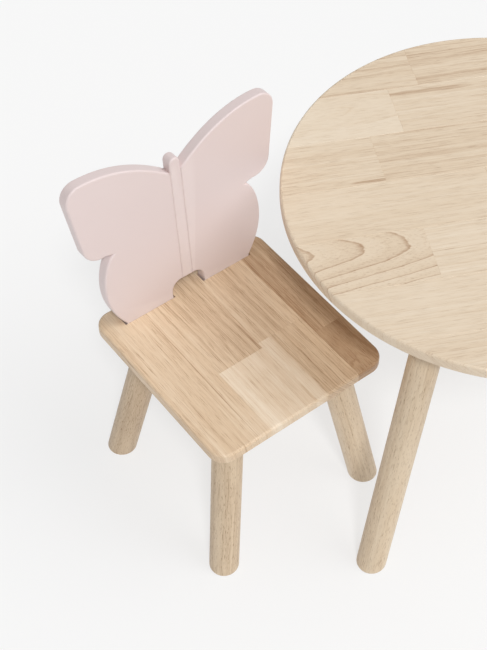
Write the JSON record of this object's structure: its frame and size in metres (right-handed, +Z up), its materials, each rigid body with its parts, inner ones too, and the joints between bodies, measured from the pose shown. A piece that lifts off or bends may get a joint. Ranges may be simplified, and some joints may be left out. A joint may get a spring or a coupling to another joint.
{
  "type": "children's table and chair",
  "caption": "Child's round wooden table on splayed dowel legs with a square-seated wooden chair whose painted back is a butterfly.",
  "frame": {"origin": "middle of the set's footprint, on the floor", "axes": "+Z up; the chair faces -Y and is pushed back along +Y; +X is the chair's left-to-right as seen from its front, towards the table"},
  "size_m": [0.8798, 0.7216, 0.5649],
  "materials": {
    "table_wood": "edge-glued rubberwood, clear matt lacquer",
    "seat_wood": "edge-glued rubberwood, clear matt lacquer",
    "leg_wood": "turned rubberwood dowel, clear matt lacquer",
    "back_paint": "routed fibreboard, satin pale pink paint",
    "steel": "zinc-plated"
  },
  "bodies": {
    "table": {"table_leg_1": "leg_wood", "table_leg_2": "leg_wood", "table_leg_3": "leg_wood", "table_leg_bolts": "steel", "table_leg_inserts": "steel", "table_stave_1a": "table_wood", "table_stave_1b": "table_wood", "table_stave_2a": "table_wood", "table_stave_2b": "table_wood", "table_stave_3a": "table_wood", "table_stave_3b": "table_wood", "table_stave_3c": "table_wood", "table_stave_4a": "table_wood", "table_stave_4b": "table_wood", "table_stave_4c": "table_wood", "table_stave_5a": "table_wood", "table_stave_5b": "table_wood", "table_stave_5c": "table_wood", "table_stave_6a": "table_wood", "table_stave_6b": "table_wood", "table_stave_6c": "table_wood", "table_stave_7a": "table_wood", "table_stave_7b": "table_wood", "table_stave_7c": "table_wood"},
    "chair": {"back_bolts": "steel", "back_inserts": "steel", "butterfly_back": "back_paint", "chair_leg_bolts": "steel", "chair_leg_front_left": "leg_wood", "chair_leg_front_right": "leg_wood", "chair_leg_inserts": "steel", "chair_leg_rear_left": "leg_wood", "chair_leg_rear_right": "leg_wood", "seat_stave_1a": "seat_wood", "seat_stave_2a": "seat_wood", "seat_stave_2b": "seat_wood", "seat_stave_3a": "seat_wood", "seat_stave_3b": "seat_wood", "seat_stave_4a": "seat_wood", "seat_stave_4b": "seat_wood"}
  },
  "joints": [
    {"name": "chair_push_back", "type": "slide", "parent": "table", "child": "chair", "axis": [0, 1, 0], "range_m": [0, 0.35]}
  ]
}
